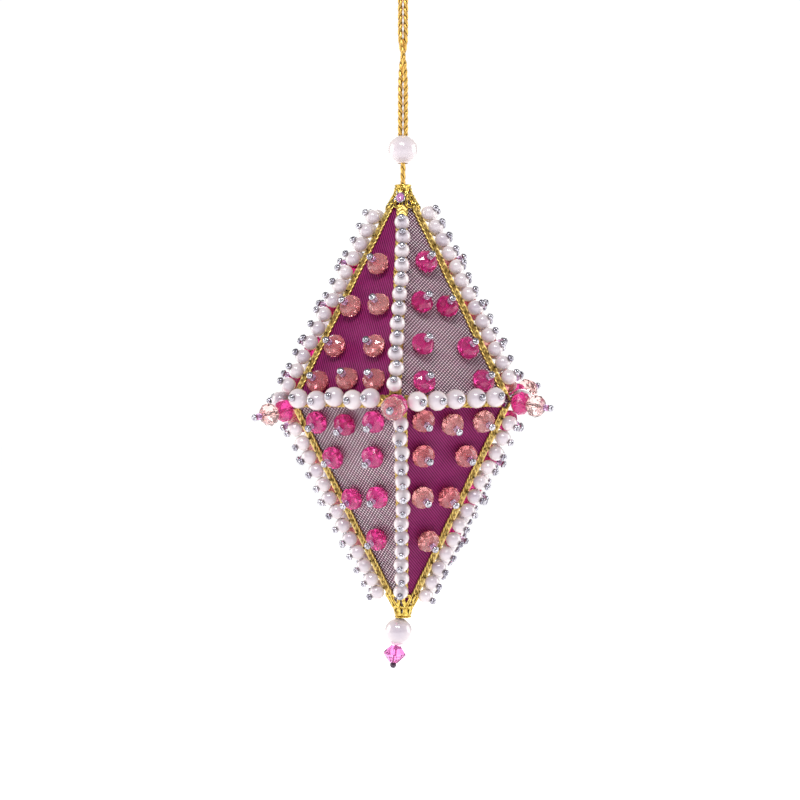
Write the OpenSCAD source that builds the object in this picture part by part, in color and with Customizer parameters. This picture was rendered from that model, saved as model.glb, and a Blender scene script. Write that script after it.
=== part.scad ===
// Hanging beaded ornament: a six-sided double pyramid of foam in satin and net, pinned all over
// with beads, hung from a doubled gold cord and ended below by a pearl and a crystal.
// Millimetres. +Z is up, the front corner points to -Y, the origin is the inside top of the loop.

/* [Foam body] */
// Distance from the centre line to each of the six side corners
corner_r = 30.4; // [28:0.2:32]
// Height of each pointed end above or below the widest line, before the tip is cut flat
half_h = 55; // [52:0.5:58]
// Height of the flat tip above or below the widest line
tip_h = 51.5; // [50.5:0.25:52]

/* [Cloth and braid] */
// Thickness of the satin panels, and of the lining and net together
cloth_t = 0.5; // [0.4:0.1:0.6]
// Thickness of the net alone
net_t = 0.2; // [0.15:0.05:0.25]
// Width of the gold braid over an edge, measured flat
braid_w = 3.4; // [3:0.2:4]
// Thickness of the braid
braid_t = 0.8; // [0.6:0.1:1]

/* [Beads] */
// Diameter of the pearls along the slanted edges
edge_pearl_d = 3.9; // [3.7:0.1:3.9]
// Diameter of the pearls along the widest line
side_pearl_d = 5; // [4.6:0.1:5.1]
// Pearls on each side of the widest line
side_pearls = 5; // [3:1:5]
// Diameter of the rondelles
rondelle_d = 6; // [5.6:0.1:6.2]
// Length of a corner rondelle along its hole
rondelle_t = 4; // [3.6:0.1:4.2]
// Length of a face rondelle along its hole
face_rondelle_t = 3.6; // [3.4:0.1:4]
// Diameter of the silver seed beads
seed_d = 1.9; // [1.8:0.1:2.1]
// Length of the silver seed beads
seed_t = 0.8; // [0.7:0.1:1.2]
// Diameter of the tinted seed beads
tint_d = 1.8; // [1.6:0.1:2]
// Length of the tinted seed beads
tint_t = 1.4; // [1.2:0.1:1.6]
// Diameter of the pins
pin_d = 0.6; // [0.5:0.05:0.65]

/* [Hanger and drop] */
// Diameter of the gold cord
cord_d = 1.3; // [1.2:0.1:1.4]
// Diameter of the pearl on the cord
top_pearl_d = 7.6; // [7:0.1:8]
// Diameter of the pearl under the lower cap
drop_pearl_d = 7.1; // [6.8:0.1:7.2]
// Diameter of the crystal at the lower end
crystal_d = 5.8; // [5.4:0.1:6]
// Height of the crystal
crystal_t = 4.4; // [4:0.1:4.6]
// Lean of the lower pin away from the vertical
drop_lean = 9; // [0:1:10]

/* [Hidden] */
$fn = 32;
SIDES = 6;
THIRDS = [1, 2, 3];
HALVES = [1, -1];
bore_gap = 0.08;
bead_gap = 0.06;
bore_r = pin_d / 2 + bore_gap;
seed_bore_r = pin_d / 2 + 0.1;
head_d = 1.3;
head_t = 0.3;
pin_depth = 6;
turn_gap = 0.1;
face_gap = 0.25;
// Length of a corner pin below its beads
corner_depth = 7;
// Depth of the widest line under the inside top of the hanging loop
hang_depth = 114;

// Slanted edges: length, and how one unit of length splits into outward and upward parts
edge_len = sqrt(corner_r * corner_r + half_h * half_h);
edge_in = corner_r / edge_len;
edge_up = half_h / edge_len;
// Faces: distance of the widest line's sides from the centre line, slope length, lean
flat_r = corner_r * cos(180 / SIDES);
slope_len = sqrt(flat_r * flat_r + half_h * half_h);
face_lean = atan(flat_r / half_h);
cut_v = tip_h / cos(face_lean);
// Half the angle by which the two cloth faces turn away from each other over an edge
slant_fold = acos(cos(face_lean) * cos(180 / SIDES) * edge_up + sin(face_lean) * edge_in);
side_fold = face_lean;
slant_lift = (cloth_t + braid_t) / cos(slant_fold);
side_lift = (cloth_t + braid_t) / cos(side_fold);

// Slanted edges, upper and lower, from the front corner round: pearls on the edge, how far along the
// edge from its corner the first and the last one sit, and how far each of the two sits off its ridge
UPPER_ROWS = [[12, 2.9, 49.5, -0.8, 0.5], [13, 5, 52.7, 0, 0.1], [13, 4.7, 52.9, 0.2, 0],
  [13, 4.8, 52.8, -0.2, 0], [13, 4.6, 52.6, 0.1, 0], [13, 2.7, 51.6, 0, -0.1]];
LOWER_ROWS = [[13, 4.4, 53, 0.9, 0.1], [13, 4.4, 54.8, 0, 0.1], [13, 4.8, 52.8, 0, -0.2],
  [13, 4.6, 52.6, 0.2, 0], [13, 4.8, 52.9, -0.1, 0], [13, 6.1, 53.7, 0.1, 0]];
side_pitch = 5.35;
// The pearls of the widest line sit a little above it, and each side's row a little off its middle
side_rise = 0.6;
SIDE_SHIFTS = [-1.2, 0, 0.2, 0, 0, -0.7];
// Rondelles on a face: distance across from the middle, and height up the slope
FACE_SPOTS = [[-8.3, 4.4], [0, 4.8], [8.3, 4.3], [-5.9, 14.2], [5.7, 13.8], [-3.8, 25.6], [3.7, 25],
  [0.2, 37.4]];
// The face right of the front corner lacks the middle bead of its lowest row
BARE_FACE = 0;
BARE_SPOT = 1;
// Corner pins: compass turn away from straight out, rise above the horizontal, distance of the first
// bead from the corner, and its height over the widest line
CORNER_LEANS = [[-8, -8, 2, -0.9], [5, -9, 2, -0.2], [14, 15, 2, 1.5], [2, -6, 2, 0], [5, -14, 2, 0],
  [0, -12, 1, -2]];

// Caps
cap_neck_h = 55.4;
cap_t = 0.35;
neck_bore_r = 1.43;
CAP_OUTER = [[4.35, 48.9], [4.15, 49.7], [3.35, 51.2], [2.75, 52.5], [2.3, 53.9], [2.05, 55.4]];
stone_d = 2.5;
stone_r = 3.2;
stone_h = 51.7;
stone_lean = 24;
stone_turn = -99;

// Hanger
stem_low_h = 51.8;
stem_pivot_h = 60;
stem_gap = 0.4;
knot_r = 1.6;
knot_h = 53.7;
top_pearl_h = 64.4;
leg_off = 0.7;
cord_sides = 8;
eye_pivot_z = -11.5;
// Left leg of the doubled cord from the pearl upwards, and half of the eye, as x, y, z
LEG = [[0, -0.7, -53.6], [0, -0.7, -52.4], [-0.5, -0.5, -49.6], [-0.7, 0, -46.8], [-0.7, 0, -43.6],
  [-0.7, 0, -40.4], [-0.7, 0, -37.2], [-0.7, 0.1, -34], [-0.6, 0.4, -31], [-0.4, 0.6, -28], [0, 0.7, -25.2],
  [0.5, 0.5, -22.4], [0.7, 0.1, -19.6], [0.7, 0, -16.8], [0.7, 0, -14.2], [0.7, 0, -11.9]];
HALF_EYE = [[-0.7, 0, -11.1], [-0.8, 0, -9.8], [-1.5, 0, -7.9], [-2.5, 0, -5.8], [-3.2, 0, -3.6],
  [-3.1, 0, -1.7], [-2.3, 0, -0.3], [-1.2, 0, 0.4], [0, 0, 0.65]];
EYE = concat(HALF_EYE, [for (k = [len(HALF_EYE) - 2 : -1 : 0]) [-HALF_EYE[k][0], 0, HALF_EYE[k][2]]]);

// Drop pin: where it crosses the lower neck, and how far along it each bead sits
drop_dir = [-sin(drop_lean), 0, -cos(drop_lean)];
drop_base = [-0.6, 0, -cap_neck_h];
drop_pearl_at = drop_pearl_d / 2 + 0.12;
crystal_at = drop_pearl_at + drop_pearl_d / 2 + crystal_t / 2 + bead_gap;
drop_seed_d = 1.7;
drop_seed_t = 1.1;
drop_depth = 7;
drop_seed_at = crystal_at + crystal_t / 2 + drop_seed_t / 2 + bead_gap;

function unit(v) = v / norm(v);
function compass(i) = -90 + 360 / SIDES * i;
function wobble(n, seed) = rands(-1, 1, n, seed);

// A spot is where a pin goes in, which way its beads stack, and how deep the pin goes
function edge_spot(i, k, row, half, w) =
  let (a = compass(i), share = k / (row[0] - 1), s = row[1] + share * (row[2] - row[1]),
       r = corner_r - s * edge_in, off = row[3] + share * (row[4] - row[3]) + 0.3 * w[0],
       out = [edge_up * cos(a), edge_up * sin(a), half * edge_in],
       side = [-sin(a), cos(a), 0], depth = min(pin_depth, 0.75 * r, 0.8 * s * edge_up / edge_in))
  [[r * cos(a), r * sin(a), half * s * edge_up] + off * side,
   unit(out + 0.1 * w[1] * side + [0, 0, 0.006 * w[2]]), depth];
function edge_spots(rows, half, seed) = [for (i = [0 : SIDES - 1], k = [0 : rows[i][0] - 1])
  edge_spot(i, k, rows[i], half, wobble(3, seed + 20 * i + k))];

function side_spot(i, k, w) =
  let (a = compass(i + 0.5), out = [cos(a), sin(a), 0], side = [-sin(a), cos(a), 0],
       across = (k - (side_pearls - 1) / 2) * side_pitch + SIDE_SHIFTS[i])
  [flat_r * out + across * side + [0, 0, side_rise + 0.25 * w[0]],
   unit(out + 0.06 * w[1] * side + [0, 0, 0.12 * w[2]]), pin_depth];
function side_spots(seed) = [for (i = [0 : SIDES - 1], k = [0 : side_pearls - 1])
  side_spot(i, k, wobble(3, seed + 20 * i + k))];

function face_spot(i, half, uv, w) =
  let (a = compass(i + 0.5), side = [-sin(a), cos(a), 0], v = uv[1] + 0.4 * w[1],
       out = [cos(face_lean) * cos(a), cos(face_lean) * sin(a), half * sin(face_lean)],
       r = flat_r - v * sin(face_lean))
  [[r * cos(a), r * sin(a), half * v * cos(face_lean)] + (uv[0] + 0.4 * w[0]) * side,
   unit(out + 0.1 * w[2] * side + [0, 0, 0.1 * w[3]]), pin_depth];
// The faces take satin and net by turns, and the lower half is a step out of turn with the upper
function face_spots(i, half) = [for (k = [0 : len(FACE_SPOTS) - 1])
  if (i != BARE_FACE || half < 0 || k != BARE_SPOT)
    face_spot(i, half, FACE_SPOTS[k], wobble(4, 700 + 97 * i + 31 * k + 5 * half))];
function is_satin(i, half) = (i + (half > 0 ? 1 : 0)) % 2 == 0;
function spots_of(satin) =
  [for (half = HALVES, i = [0 : SIDES - 1]) if (is_satin(i, half) == satin) each face_spots(i, half)];

function corner_spot(i) =
  let (lean = CORNER_LEANS[i], a = compass(i) + lean[0], e = lean[1], r = corner_r + lean[2],
       dir = [cos(e) * cos(a), cos(e) * sin(a), sin(e)])
  [[r * cos(compass(i)), r * sin(compass(i)), lean[3]], dir, corner_depth];
corner_spots = [for (i = [0 : SIDES - 1]) corner_spot(i)];

upper_spots = edge_spots(UPPER_ROWS, 1, 100);
lower_spots = edge_spots(LOWER_ROWS, -1, 300);
ring_spots = side_spots(500);
satin_spots = spots_of(true);
net_spots = spots_of(false);
face_all = concat(satin_spots, net_spots);

// Heights of the beads over the foam along their pins
side_stack = side_lift + side_pearl_d + bead_gap;
edge_stack = slant_lift + edge_pearl_d + bead_gap;
face_base = cloth_t + face_gap;
face_tint = face_base + face_rondelle_t + bead_gap;
face_seed = face_tint + tint_t + bead_gap;
face_top = face_seed + seed_t + bead_gap;
corner_pale = rondelle_t + turn_gap;
corner_tint = corner_pale + rondelle_t + turn_gap;
corner_seed = corner_tint + tint_t + bead_gap;
corner_top = corner_seed + seed_t + bead_gap;

// ---- placing ----

module body_place() {
  translate([0, 0, -hang_depth]) children();
}

module pointing(d) {
  rotate([0, acos(d[2]), atan2(d[1], d[0])]) children();
}

module on_pins(spots, height) {
  for (s = spots) translate(s[0]) pointing(s[1]) translate([0, 0, height]) children();
}

// Lays a flat shape on a face: x runs across, y up the slope, z outwards
module on_face(i, half) {
  mirror([0, 0, half > 0 ? 0 : 1]) rotate([0, 0, compass(i + 0.5)]) translate([flat_r, 0, 0])
    rotate([0, -face_lean, 0]) rotate([90, 0, 90]) children();
}

// ---- beads and pins, each standing on the end of its hole ----

module pearl(d, hole_r) {
  translate([0, 0, d / 2]) difference() {
    sphere(d = d);
    cylinder(h = d + 2, r = hole_r, center = true);
  }
}

module rondelle(d, t) {
  flat = d * 0.27;
  rotate_extrude() polygon([[bore_r, 0], [flat, 0], [d / 2, t * 0.36], [d / 2, t * 0.64], [flat, t],
    [bore_r, t]]);
}

module seed(d, t) {
  chamfer = d * 0.12;
  rotate_extrude() polygon([[seed_bore_r, 0], [d / 2 - chamfer, 0], [d / 2, chamfer], [d / 2, t - chamfer],
    [d / 2 - chamfer, t], [seed_bore_r, t]]);
}

// A pin whose head rests on a stack of beads of the given height
module pin(depth, stack) {
  point = 1.2;
  rotate_extrude() polygon([[0, -depth], [pin_d / 2, point - depth], [pin_d / 2, stack], [head_d / 2, stack],
    [head_d / 2, stack + head_t * 0.4], [head_d * 0.3, stack + head_t], [0, stack + head_t]]);
}

module pins(spots, stack) {
  for (s = spots) translate(s[0]) pointing(s[1]) pin(s[2], stack);
}

// ---- foam, cloth, braid ----

module foam_shape(grow) {
  r = corner_r + grow / cos(slant_fold) / edge_up;
  h = half_h * r / corner_r;
  ring = [for (i = [0 : SIDES - 1]) r * [cos(compass(i)), sin(compass(i)), 0]];
  points = concat(ring, [[0, 0, h], [0, 0, -h]]);
  sides = [for (i = [0 : SIDES - 1]) each [[(i + 1) % SIDES, i, SIDES], [i, (i + 1) % SIDES, SIDES + 1]]];
  intersection() {
    polyhedron(points, sides);
    cube([3 * corner_r, 3 * corner_r, 2 * tip_h], center = true);
  }
}

module foam_core() {
  color("white") body_place() foam_shape(0);
}

// A cloth panel on one face between two heights above the foam
module panel(i, half, low, high) {
  half_w = corner_r / 2;
  inset = 0.12;
  top_w = half_w * (1 - cut_v / slope_len) - inset;
  on_face(i, half) translate([0, 0, low]) linear_extrude(height = high - low)
    polygon([[-half_w + inset * 2, inset], [half_w - inset * 2, inset], [top_w, cut_v], [-top_w, cut_v]]);
}

module satin(half, n) {
  i = 2 * (n - 1) + (half > 0 ? 1 : 0);
  color("#82195a") body_place() panel(i, half, 0, cloth_t);
}

module net(half, n) {
  i = 2 * (n - 1) + (half > 0 ? 0 : 1);
  color("#b05090") body_place() panel(i, half, cloth_t - net_t, cloth_t);
}

module lining(half) {
  color("#f2dce6") body_place() for (n = THIRDS)
    panel(2 * (n - 1) + (half > 0 ? 0 : 1), half, 0, cloth_t - net_t);
}

// Section of braid folded over an edge: x across, y outwards from the edge line
module fold(angle, under) {
  reach = braid_w / 2;
  low = under / cos(angle);
  high = (under + braid_t) / cos(angle);
  x = reach * cos(angle);
  drop = reach * sin(angle);
  turn = braid_t * sin(angle);
  polygon([[0, low], [x, low - drop], [x + turn, low - drop + braid_t * cos(angle)], [0, high],
    [-x - turn, low - drop + braid_t * cos(angle)], [-x, low - drop]]);
}

module slanted_braid(half) {
  first = 1.5;
  last = 54.6;
  color("#c8a03c") body_place() mirror([0, 0, half > 0 ? 0 : 1]) for (i = [0 : SIDES - 1])
    rotate([0, 0, compass(i)]) translate([corner_r, 0, 0]) rotate([0, -atan(edge_in / edge_up), 0])
      translate([0, 0, first]) rotate([0, 0, -90]) linear_extrude(height = last - first)
        fold(slant_fold, cloth_t);
}

module side_braid() {
  corner_room = 3.4;
  run = corner_r - corner_room;
  color("#c8a03c") body_place() for (i = [0 : SIDES - 1]) rotate([0, 0, compass(i + 0.5)])
    translate([flat_r, run / 2, 0]) rotate([90, 0, 0]) rotate([0, 0, -90]) linear_extrude(height = run)
      fold(side_fold, cloth_t);
}

// ---- caps ----

module cap_shell() {
  inner = [for (p = CAP_OUTER) [p[0] - cap_t, p[1]]];
  top = len(CAP_OUTER) - 1;
  rotate_extrude() polygon(concat(CAP_OUTER, [[neck_bore_r, cap_neck_h], [neck_bore_r, cap_neck_h - cap_t]],
    [[CAP_OUTER[top][0] - cap_t, cap_neck_h - cap_t]], [for (k = [top - 1 : -1 : 0]) inner[k]]));
}

module top_cap() {
  color("#d4ac48") body_place() cap_shell();
}

module bottom_cap() {
  color("#d4ac48") body_place() mirror([0, 0, 1]) cap_shell();
}

// A cut stone in a shallow cup, on the front of the upper cap
module cap_stone() {
  cup_t = 0.5;
  sunk = 0.1;
  color("#d98ac8") body_place() rotate([0, 0, stone_turn]) translate([stone_r, 0, stone_h])
    rotate([0, 90 - stone_lean, 0]) {
      translate([0, 0, -sunk]) cylinder(h = cup_t, d = stone_d);
      translate([0, 0, cup_t - sunk]) cylinder(h = cup_t, r1 = stone_d / 2, r2 = stone_d / 4);
    }
}

// ---- cord ----

function tangent(p, k) = unit(p[min(k + 1, len(p) - 1)] - p[max(k - 1, 0)]);
function ring_at(p, k) =
  let (t = tangent(p, k), a = unit(cross([0, 1, 0], t)), b = cross(t, a), turn = 360 / cord_sides)
  [for (j = [0 : cord_sides - 1]) p[k] + cord_d / 2 * (cos(turn * j) * a + sin(turn * j) * b)];

module tube(p) {
  n = cord_sides;
  last = len(p) - 1;
  points = [for (k = [0 : last]) each ring_at(p, k)];
  walls = [for (k = [0 : last - 1], j = [0 : n - 1])
    [k * n + j, (k + 1) * n + j, (k + 1) * n + (j + 1) % n, k * n + (j + 1) % n]];
  ends = [[for (j = [0 : n - 1]) j], [for (j = [n - 1 : -1 : 0]) last * n + j]];
  polyhedron(points, concat(walls, ends));
}

module cord_eye() {
  color("#c8a03c") tube(EYE);
}

module cord_legs() {
  color("#c8a03c") {
    tube(LEG);
    tube([for (p = LEG) [-p[0], -p[1], p[2]]]);
  }
}

module cord_stem() {
  length = stem_pivot_h - stem_gap - stem_low_h;
  color("#c8a03c") body_place() {
    for (side = HALVES) translate([0, side * leg_off, stem_low_h]) cylinder(h = length, d = cord_d);
    translate([0, 0, knot_h]) sphere(r = knot_r);
  }
}

module top_pearl() {
  color("#f4eef2") body_place() translate([0, 0, top_pearl_h - top_pearl_d / 2])
    pearl(top_pearl_d, leg_off + cord_d / 2 + 0.1);
}

// ---- drop ----

module on_drop(distance) {
  body_place() translate(drop_base) pointing(drop_dir) translate([0, 0, distance]) children();
}

module drop_pearl() {
  color("#f4eef2") on_drop(drop_pearl_at - drop_pearl_d / 2) pearl(drop_pearl_d, bore_r);
}

module drop_crystal() {
  tip = 1.2;
  low = crystal_t * 0.46;
  color("#e0309a") on_drop(crystal_at - crystal_t / 2) rotate_extrude() polygon([[bore_r, 0], [tip, 0],
    [crystal_d / 2, low], [crystal_d / 2, crystal_t - low], [tip, crystal_t], [bore_r, crystal_t]]);
}

module drop_seed() {
  color("#55505a") on_drop(drop_seed_at - drop_seed_t / 2) seed(drop_seed_d, drop_seed_t);
}

module drop_pin() {
  color("silver") on_drop(0) pin(drop_depth, drop_seed_at + drop_seed_t / 2 + bead_gap);
}

// ---- nodes ----

foam_core();
for (n = THIRDS) {
  satin(1, n);
  satin(-1, n);
  net(1, n);
  net(-1, n);
}
lining(1);  // lining_upper
lining(-1);  // lining_lower
slanted_braid(1);  // braid_upper
slanted_braid(-1);  // braid_lower
side_braid();  // braid_side

color("#f4eef2") body_place() on_pins(upper_spots, slant_lift) pearl(edge_pearl_d, bore_r);  // pearls_upper
color("#f4eef2") body_place() on_pins(lower_spots, slant_lift) pearl(edge_pearl_d, bore_r);  // pearls_lower
color("#f4eef2") body_place() on_pins(ring_spots, side_lift) pearl(side_pearl_d, bore_r);  // pearls_side
color("silver") body_place() on_pins(upper_spots, edge_stack) seed(seed_d, seed_t);  // seeds_upper
color("silver") body_place() on_pins(lower_spots, edge_stack) seed(seed_d, seed_t);  // seeds_lower
color("silver") body_place() on_pins(ring_spots, side_stack) seed(seed_d, seed_t);  // seeds_side
color("gray") body_place() pins(upper_spots, edge_stack + seed_t + bead_gap);  // pins_upper
color("gray") body_place() pins(lower_spots, edge_stack + seed_t + bead_gap);  // pins_lower
color("gray") body_place() pins(ring_spots, side_stack + seed_t + bead_gap);  // pins_side
color("gray") body_place() pins(face_all, face_top);  // pins_face
color("gray") body_place() pins(corner_spots, corner_top);  // pins_corner

color("#d98078") body_place() on_pins(satin_spots, face_base) rondelle(rondelle_d, face_rondelle_t);  // rondelles_satin
color("#c8146e") body_place() on_pins(net_spots, face_base) rondelle(rondelle_d, face_rondelle_t);  // rondelles_net
color("#c060b0") body_place() on_pins(face_all, face_tint) seed(tint_d, tint_t);  // tints_face
color("silver") body_place() on_pins(face_all, face_seed) seed(seed_d, seed_t);  // seeds_face
color("#c060b0") body_place() on_pins(corner_spots, corner_tint) seed(tint_d, tint_t);  // tints_corner
color("silver") body_place() on_pins(corner_spots, corner_seed) seed(seed_d, seed_t);  // seeds_corner
for (i = [0 : SIDES - 1]) {
  color("#c8146e") body_place() on_pins([corner_spots[i]], 0) rondelle(rondelle_d, rondelle_t);
  color("#e8a8a8") body_place() on_pins([corner_spots[i]], corner_pale) rondelle(rondelle_d, rondelle_t);
}

top_cap();
bottom_cap();
cap_stone();
cord_eye();
cord_legs();
cord_stem();
top_pearl();
drop_pearl();
drop_crystal();
drop_seed();
drop_pin();
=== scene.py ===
# %% [markdown]
# # A beaded ornament on a gold cord
#
# The object is a six-sided double pyramid of foam. Its faces take satin and net by turns, gold braid
# covers every edge, and pins hold pearls, faceted rondelles and seed beads. A filigree cap closes each
# end. It hangs from a doubled cord with a pearl on it, and a pearl and a crystal hang below.
#
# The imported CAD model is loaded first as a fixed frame. Every looks piece is then placed by it.

# %% Load the frame
import math

import bpy
import numpy as np
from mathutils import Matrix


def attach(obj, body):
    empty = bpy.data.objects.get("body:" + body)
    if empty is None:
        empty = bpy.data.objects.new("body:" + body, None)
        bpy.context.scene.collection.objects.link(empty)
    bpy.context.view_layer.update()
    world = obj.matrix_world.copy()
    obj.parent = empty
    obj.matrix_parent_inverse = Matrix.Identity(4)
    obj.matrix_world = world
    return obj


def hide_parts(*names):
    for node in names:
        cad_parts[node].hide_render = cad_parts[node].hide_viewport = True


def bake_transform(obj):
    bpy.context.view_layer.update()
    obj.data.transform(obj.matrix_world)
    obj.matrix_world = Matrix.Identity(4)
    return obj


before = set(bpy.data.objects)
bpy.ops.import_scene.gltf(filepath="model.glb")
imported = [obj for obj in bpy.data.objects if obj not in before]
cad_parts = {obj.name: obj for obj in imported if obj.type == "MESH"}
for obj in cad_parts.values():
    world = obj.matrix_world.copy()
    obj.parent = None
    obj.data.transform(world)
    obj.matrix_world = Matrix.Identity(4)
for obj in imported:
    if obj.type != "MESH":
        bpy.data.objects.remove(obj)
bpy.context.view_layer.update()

MM = 0.001
BODY_Z = -114 * MM

# %% [markdown]
# ## Tools for shapes
#
# A shape here is a pair: an array of points, and a list of arrays of faces. A grid of two parameters
# makes sheets, a profile turned round a line makes beads, and a section carried along a path makes
# cords. Each is worked out for all points at once, and one function puts the arrays into a mesh.


# %% Grids, and shapes into meshes
def grid_faces(rows, columns, rows_close=False, columns_close=False):
    """Quads of a grid of points: each joins point (i, j) to its next ones, wrapping where it closes."""
    i, j = np.meshgrid(np.arange(rows if rows_close else rows - 1),
                       np.arange(columns if columns_close else columns - 1), indexing="ij")
    i, j = i.ravel(), j.ravel()
    i2, j2 = (i + 1) % rows, (j + 1) % columns
    return np.stack([i * columns + j, i2 * columns + j, i2 * columns + j2, i * columns + j2], axis=1)


def join(shapes):
    """One shape out of several: the points end to end, the face numbers shifted by the points before."""
    points, faces, start = [], [], 0
    for some_points, some_faces in shapes:
        points.append(some_points)
        faces += [f + start for f in some_faces]
        start += len(some_points)
    return np.concatenate(points), faces


def put_mesh(name, shape, finish, smooth=True, values=None):
    """A mesh object from a shape in metres; values are named numbers, one for each point."""
    points, faces = shape
    mesh = bpy.data.meshes.new(name)
    mesh.vertices.add(len(points))
    mesh.vertices.foreach_set("co", np.asarray(points, np.float32).ravel())
    mesh.loops.add(sum(f.size for f in faces))
    mesh.loops.foreach_set("vertex_index", np.concatenate([f.ravel() for f in faces]).astype(np.int32))
    sides = np.concatenate([np.full(len(f), f.shape[1]) for f in faces])
    mesh.polygons.add(len(sides))
    mesh.polygons.foreach_set("loop_start", (np.cumsum(sides) - sides).astype(np.int32))
    mesh.polygons.foreach_set("use_smooth", np.full(len(sides), smooth))
    for key, numbers in (values or {}).items():
        mesh.attributes.new(key, "FLOAT", "POINT").data.foreach_set("value", np.asarray(numbers, np.float32))
    mesh.update(calc_edges=True)
    mesh.validate()
    piece = bpy.data.objects.new(name, mesh)
    bpy.context.scene.collection.objects.link(piece)
    mesh.materials.append(finish)
    print(f"{name}: {len(points)} points, {len(sides)} faces")
    return piece


def stand_for(piece, body, *nodes, slot=None):
    """The piece moves with a CAD body and takes the place of the CAD nodes."""
    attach(piece, body)
    if nodes:
        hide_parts(*nodes)
    return piece


# %% Turned shapes, tubes and repeats
def unit(v):
    """Vectors divided by their own lengths."""
    return v / np.linalg.norm(v, axis=-1, keepdims=True)


def turned(profile, sides, closed=True):
    """A profile of (radius, height) carried round the z axis: x = r cos a, y = r sin a, z = h.
    A closed profile gives a ring with a bore. An open one starts and ends on the axis, at a pole."""
    profile = np.asarray(profile, float)
    around = np.linspace(0, 2 * np.pi, sides, endpoint=False)
    rows = profile if closed else profile[1:-1]
    r, h = rows[:, :1], rows[:, 1:]
    points = np.stack([r * np.cos(around), r * np.sin(around), h + 0 * around], axis=-1).reshape(-1, 3)
    faces = [grid_faces(len(rows), sides, rows_close=closed, columns_close=True)[:, ::-1]]
    if not closed:
        k = np.arange(sides)
        poles = np.array([[0, 0, profile[0, 1]], [0, 0, profile[-1, 1]]])
        points = np.concatenate([points, poles])
        low, high, last = len(points) - 2, len(points) - 1, (len(rows) - 1) * sides
        faces.append(np.stack([(k + 1) % sides, k, k * 0 + low], axis=1))
        faces.append(np.stack([last + k, last + (k + 1) % sides, k * 0 + high], axis=1))
    return points, faces


def frames_for(axes, rolls):
    """Turns z onto each axis: the third column is the axis, the first two are square to it and rolled."""
    axes = unit(np.asarray(axes, float))
    helper = np.where(np.abs(axes[:, 2:]) < 0.9, [[0, 0, 1.0]], [[1.0, 0, 0]])
    a = unit(np.cross(helper, axes))
    b = np.cross(axes, a)
    c, s = np.cos(rolls)[:, None], np.sin(rolls)[:, None]
    return np.stack([c * a + s * b, -s * a + c * b, axes], axis=2)


def repeat(shape, origins, turns):
    """The shape at each place: each point is turned by its place's frame and moved to its origin."""
    points, faces = shape
    placed = np.einsum("nij,pj->npi", turns, points) + origins[:, None]
    shift = (np.arange(len(origins)) * len(points))[:, None, None]
    return placed.reshape(-1, 3), [(f[None] + shift).reshape(-1, f.shape[1]) for f in faces]


def smooth_path(points, step):
    """A curve through given points, in even steps: between two points it is the cubic whose
    ends head along the line joining each point's two neighbours (Catmull-Rom)."""
    p = np.asarray(points, float)
    p = np.concatenate([[2 * p[0] - p[1]], p, [2 * p[-1] - p[-2]]])
    t = np.linspace(0, 1, 12, endpoint=False)[None, :, None]
    a, b, c, d = (p[k:len(p) - 3 + k, None] for k in range(4))
    fine = 0.5 * (2 * b + (c - a) * t + (2 * a - 5 * b + 4 * c - d) * t ** 2 + (3 * b - a - 3 * c + d) * t ** 3)
    fine = np.concatenate([fine.reshape(-1, 3), p[-2:-1]])
    run = np.concatenate([[0], np.cumsum(np.linalg.norm(np.diff(fine, axis=0), axis=1))])
    at = np.linspace(0, run[-1], max(2, round(run[-1] / step) + 1))
    return np.stack([np.interp(at, run, fine[:, k]) for k in range(3)], axis=1)


def path_frames(path, helper=(0, 1, 0)):
    """Two directions square to a path at each of its points, kept from rolling by a helper."""
    along = unit(np.gradient(path, axis=0))
    across = unit(np.cross(np.asarray(helper, float), along))
    return across, np.cross(along, across)


def rope(path, radius, lobes, lay, sides, depth=0.22, helper=(0, 1, 0), mirrored=False):
    """A twisted rope: a section with one lobe for each ply, turned steadily along the path. Its radius
    is R (1 - depth + depth |cos(lobes (angle - turn) / 2)|), and turn grows by one round in each lay.
    A mirrored rope turns the other way past its middle."""
    across, up = path_frames(path, helper)
    run = np.concatenate([[0], np.cumsum(np.linalg.norm(np.diff(path, axis=0), axis=1))])
    run = np.abs(run - run[-1] / 2) if mirrored else run
    angle = np.linspace(0, 2 * np.pi, sides, endpoint=False)[None]
    lobe = np.abs(np.cos(lobes * (angle - 2 * np.pi * run[:, None] / lay) / 2))
    r = radius * (1 - depth + depth * lobe)
    ring = r[..., None] * (np.cos(angle)[..., None] * across[:, None] + np.sin(angle)[..., None] * up[:, None])
    points = (path[:, None] + ring).reshape(-1, 3)
    n, last = sides, (len(path) - 1) * sides
    k = np.arange(n)
    points = np.concatenate([points, path[:1], path[-1:]])
    ends = [np.stack([(k + 1) % n, k, k * 0 + len(points) - 2], axis=1),
            np.stack([last + k, last + (k + 1) % n, k * 0 + len(points) - 1], axis=1)]
    shape = points, [grid_faces(len(path), n, columns_close=True)[:, ::-1]] + ends
    return shape, np.concatenate([lobe.ravel(), [0.5, 0.5]])


# %% [markdown]
# ## Camera, floor and light
#
# The ornament hangs free, so the camera looks level at its middle from half a metre, a little to the
# right of the front corner. Two square window lights above give the pearls their pair of square
# highlights, and two side panels, a back panel and a white table below give them bright rims.


# %% Colours and nodes
def linear(code):
    """An sRGB hex colour as linear red, green, blue and 1: c / 12.92 near black, else a power of 2.4."""
    c = np.array([int(code[k:k + 2], 16) for k in (1, 3, 5)]) / 255
    return (*np.where(c <= 0.04045, c / 12.92, ((c + 0.055) / 1.055) ** 2.4), 1.0)


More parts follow.
